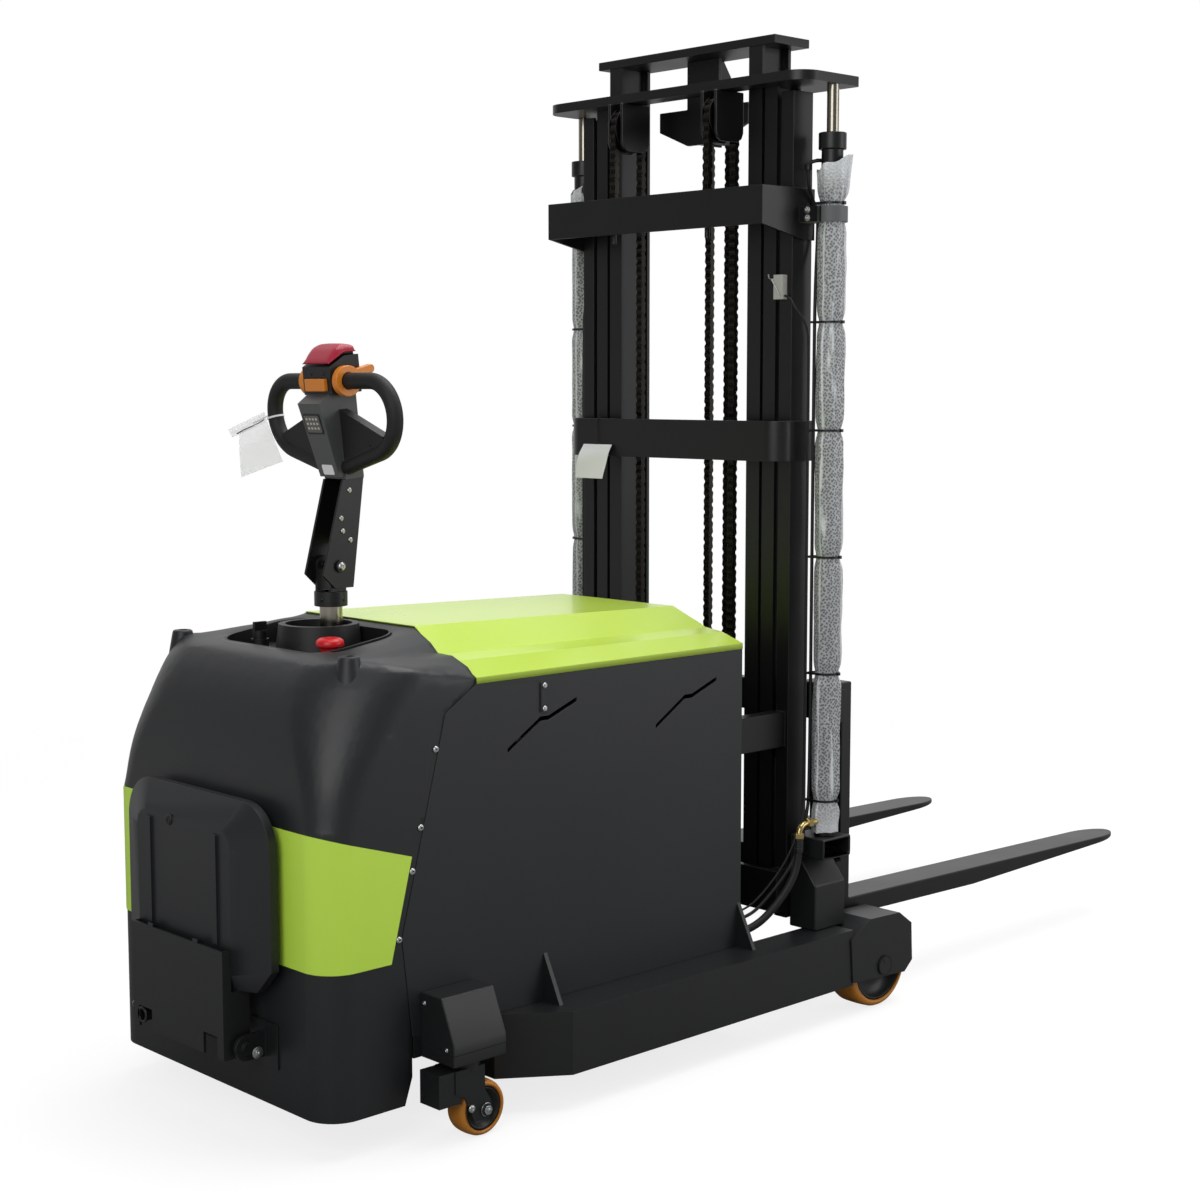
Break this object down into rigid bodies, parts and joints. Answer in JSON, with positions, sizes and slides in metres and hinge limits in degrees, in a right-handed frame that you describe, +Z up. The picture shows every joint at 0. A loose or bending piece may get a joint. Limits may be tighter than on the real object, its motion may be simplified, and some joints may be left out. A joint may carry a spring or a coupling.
{
  "type": "counterbalance stacker",
  "caption": "Walk-behind electric counterbalance stacker with tiller, folding platform, triple telescopic mast, chain-hung fork carriage, outriggers and casters.",
  "frame": {"origin": "centre of the bounding box on the floor plane, under the wheels", "axes": "+X forward along the forks, +Y to the truck's left, +Z up"},
  "size_m": [2.894, 0.984, 2.297],
  "materials": {
    "frame_black": "satin black paint on welded plate",
    "charcoal_paint": "satin powder coat on sheet steel",
    "mast_black": "satin black paint on rolled rail",
    "lime_paint": "gloss lime paint on sheet steel",
    "lime_film": "gloss lime moulded band",
    "cover_plastic": "satin moulded cover",
    "black_plastic": "textured moulded black",
    "head_plastic": "textured moulded head",
    "orange_plastic": "moulded orange",
    "crimson_plastic": "moulded crimson",
    "red_plastic": "moulded red",
    "polyurethane": "cast polyurethane tread on a dark hub",
    "drive_tread": "bonded rubber tread on a steel hub",
    "chrome_steel": "hard chrome, ground",
    "bright_steel": "turned steel",
    "fork_steel": "black paint on forged steel",
    "chain_steel": "oiled roller chain",
    "cast_weight": "painted casting",
    "battery_case": "moulded case",
    "wrap_film": "bubble film wrap",
    "hose_rubber": "braided hydraulic hose with a brass elbow",
    "switch_case": "moulded pale case"
  },
  "bodies": {
    "chassis": {"base_frame": "frame_black", "battery_pack": "battery_case", "hydraulic_unit": "charcoal_paint", "counterweight": "cast_weight", "rear_cover": "cover_plastic", "cover_band": "lime_film", "control_tray": "black_plastic", "side_panel_right": "charcoal_paint", "side_panel_left": "charcoal_paint", "outrigger_right": "frame_black", "outrigger_left": "frame_black", "caster_mount_right": "frame_black", "caster_mount_left": "frame_black", "platform_bracket": "frame_black", "outer_mast": "mast_black", "upper_crossmember": "mast_black", "mid_crossmember": "mast_black", "mast_foot_right": "frame_black", "mast_foot_left": "frame_black", "lift_cylinder_right": "mast_black", "lift_cylinder_left": "mast_black", "cylinder_sleeves": "wrap_film", "hydraulic_lines": "hose_rubber", "limit_switch": "switch_case", "lift_chain_rear": "chain_steel"},
    "hood": {"hood": "lime_paint"},
    "mid_stage": {"mid_mast": "mast_black", "mid_top_plate": "mast_black", "lift_rods": "chrome_steel", "lift_chain_arcs": "chain_steel", "lift_chain_front": "chain_steel", "load_chain_rear": "chain_steel"},
    "lift_pulley_right": {"lift_sheave_right": "bright_steel"},
    "lift_pulley_left": {"lift_sheave_left": "bright_steel"},
    "inner_stage": {"inner_mast": "mast_black", "inner_top_plate": "mast_black", "load_chain_arc": "chain_steel", "load_chain_front": "chain_steel"},
    "load_pulley": {"load_sheave": "bright_steel"},
    "fork_carriage": {"carriage": "mast_black", "fork_right": "fork_steel", "fork_left": "fork_steel"},
    "steering": {"steering_post": "bright_steel", "drive_unit": "bright_steel"},
    "drive_roll": {"drive_wheel": "drive_tread"},
    "tiller": {"tiller_arm": "frame_black", "tiller_head": "head_plastic"},
    "throttle": {"throttle_paddles": "orange_plastic"},
    "belly": {"belly_button": "crimson_plastic"},
    "horn": {"horn_button": "orange_plastic"},
    "stop": {"stop_button": "red_plastic"},
    "key": {"key_switch": "black_plastic"},
    "platform": {"platform_pad": "cover_plastic", "platform_plate": "frame_black"},
    "caster_swivel_right": {"caster_fork_right": "frame_black"},
    "caster_swivel_left": {"caster_fork_left": "frame_black"},
    "caster_roll_right": {"caster_wheel_right": "polyurethane"},
    "caster_roll_left": {"caster_wheel_left": "polyurethane"},
    "load_roll_right": {"load_wheel_right": "polyurethane"},
    "load_roll_left": {"load_wheel_left": "polyurethane"}
  },
  "joints": [
    {"name": "hood_hinge", "type": "hinge", "parent": "chassis", "child": "hood", "pos_m": [-0.185, 0, 0.9], "axis": [0, 1, 0], "range_deg": [0, 70]},
    {"name": "mid_lift", "type": "slide", "parent": "chassis", "child": "mid_stage", "axis": [0, 0, 1], "range_m": [0, 1.25], "deforming": ["lift_chain_rear"]},
    {"name": "inner_lift", "type": "slide", "parent": "mid_stage", "child": "inner_stage", "axis": [0, 0, 1], "range_m": [0, 1.25], "deforming": ["lift_chain_front", "load_chain_rear"]},
    {"name": "carriage_lift", "type": "slide", "parent": "inner_stage", "child": "fork_carriage", "axis": [0, 0, 1], "range_m": [0, 1.25], "deforming": ["load_chain_front"]},
    {"name": "lift_pulley_right_spin", "type": "hinge", "parent": "mid_stage", "child": "lift_pulley_right", "pos_m": [-0.0265, -0.156, 2.117], "axis": [0, -1, 0], "continuous": true},
    {"name": "lift_pulley_left_spin", "type": "hinge", "parent": "mid_stage", "child": "lift_pulley_left", "pos_m": [-0.0265, 0.156, 2.117], "axis": [0, -1, 0], "continuous": true},
    {"name": "load_pulley_spin", "type": "hinge", "parent": "inner_stage", "child": "load_pulley", "pos_m": [0.1375, 0, 2.12], "axis": [0, -1, 0], "continuous": true},
    {"name": "steer", "type": "hinge", "parent": "chassis", "child": "steering", "pos_m": [-1.053, 0, 0.37], "axis": [0, 0, 1], "range_deg": [-90, 90]},
    {"name": "drive_spin", "type": "hinge", "parent": "steering", "child": "drive_roll", "pos_m": [-1.053, 0, 0.115], "axis": [0, 1, 0], "continuous": true},
    {"name": "tiller_tilt", "type": "hinge", "parent": "steering", "child": "tiller", "pos_m": [-1.053, 0, 1.118], "axis": [0, -1, 0], "range_deg": [0, 80], "stiffness_Nm_per_rad": 15, "springref_deg": -11.46},
    {"name": "throttle_turn", "type": "hinge", "parent": "tiller", "child": "throttle", "pos_m": [-1.04826, 0, 1.50263], "axis": [0, 1, 0], "range_deg": [-30, 30], "stiffness_Nm_per_rad": 0.6},
    {"name": "belly_press", "type": "slide", "parent": "tiller", "child": "belly", "axis": [0.1045, 0, -0.9945], "range_m": [0, 0.005], "stiffness_N_per_m": 900},
    {"name": "horn_press", "type": "slide", "parent": "tiller", "child": "horn", "axis": [0.9945, 0, 0.1045], "range_m": [0, 0.005], "stiffness_N_per_m": 900},
    {"name": "stop_press", "type": "slide", "parent": "chassis", "child": "stop", "axis": [0, 0, -1], "range_m": [0, 0.008]},
    {"name": "key_turn", "type": "hinge", "parent": "chassis", "child": "key", "pos_m": [-1.148, 0.125, 0.94], "axis": [0, 0, 1], "range_deg": [0, 90]},
    {"name": "platform_fold", "type": "hinge", "parent": "chassis", "child": "platform", "pos_m": [-1.405, 0, 0.2], "axis": [0, -1, 0], "range_deg": [0, 90]},
    {"name": "caster_right_swivel", "type": "hinge", "parent": "chassis", "child": "caster_swivel_right", "pos_m": [-1.065, -0.438, 0.168], "axis": [0, 0, 1], "continuous": true},
    {"name": "caster_right_spin", "type": "hinge", "parent": "caster_swivel_right", "child": "caster_roll_right", "pos_m": [-1.033, -0.438, 0.0575], "axis": [0, 1, 0], "continuous": true},
    {"name": "load_wheel_right_spin", "type": "hinge", "parent": "chassis", "child": "load_roll_right", "pos_m": [0.211, -0.432, 0.105], "axis": [0, 1, 0], "continuous": true},
    {"name": "caster_left_swivel", "type": "hinge", "parent": "chassis", "child": "caster_swivel_left", "pos_m": [-1.065, 0.438, 0.168], "axis": [0, 0, 1], "continuous": true},
    {"name": "caster_left_spin", "type": "hinge", "parent": "caster_swivel_left", "child": "caster_roll_left", "pos_m": [-1.033, 0.438, 0.0575], "axis": [0, 1, 0], "continuous": true},
    {"name": "load_wheel_left_spin", "type": "hinge", "parent": "chassis", "child": "load_roll_left", "pos_m": [0.211, 0.432, 0.105], "axis": [0, 1, 0], "continuous": true}
  ],
  "couplings": [
    {"joint": "inner_lift", "follows": "mid_lift", "ratio": 1},
    {"joint": "carriage_lift", "follows": "mid_lift", "ratio": 1},
    {"joint": "lift_pulley_right_spin", "follows": "mid_lift", "rad_per_m": 21.739},
    {"joint": "lift_pulley_left_spin", "follows": "mid_lift", "rad_per_m": 21.739},
    {"joint": "load_pulley_spin", "follows": "mid_lift", "rad_per_m": 28.985}
  ]
}
